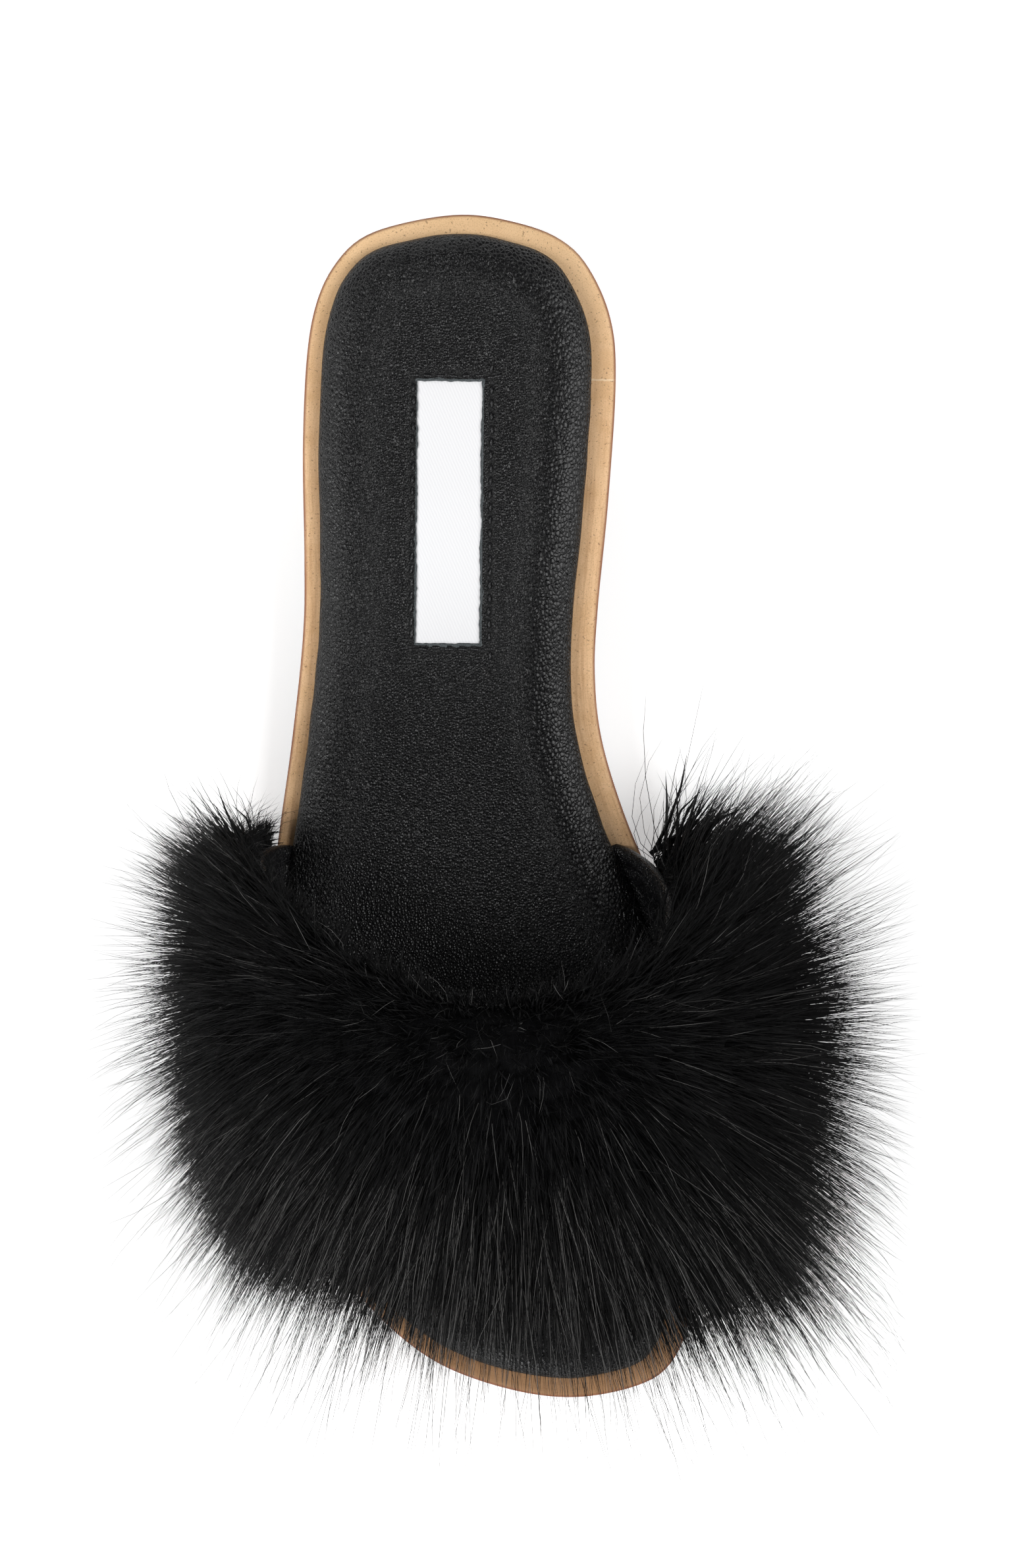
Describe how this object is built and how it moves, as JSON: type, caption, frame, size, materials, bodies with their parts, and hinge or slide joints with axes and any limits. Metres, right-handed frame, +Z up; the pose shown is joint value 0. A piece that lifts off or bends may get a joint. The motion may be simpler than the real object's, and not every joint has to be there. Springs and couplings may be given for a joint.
{
  "type": "faux fur slide sandal",
  "caption": "Low slide sandal for the right foot: a wide band of long black fake fur over a padded black insole, on a tan board sole with a low stacked heel.",
  "frame": {"origin": "on the floor, in the middle of the heel's flat face", "axes": "+Z up, -Y towards the toe, +X towards the medial side, where the big toe is"},
  "size_m": [0.1497, 0.2501, 0.0872],
  "materials": {
    "heel_rubber": "matte moulded rubber",
    "heel_stack": "stacked leatherboard with a burnished edge",
    "outsole_rubber": "matte moulded rubber",
    "tan_board": "natural tan leatherboard, satin, darker at its outer edge",
    "insole_leather": "black pebble grain, soft sheen, padded",
    "label_weave": "bare white woven satin",
    "band_leather": "smooth black lining leather",
    "long_fur": "long glossy black fake fur"
  },
  "bodies": {
    "root": {"heel_top_piece": "heel_rubber", "heel_block": "heel_stack", "outsole": "outsole_rubber", "sole_board": "tan_board", "insole": "insole_leather", "label": "label_weave", "upper": "band_leather", "fur": "long_fur"}
  },
  "joints": []
}
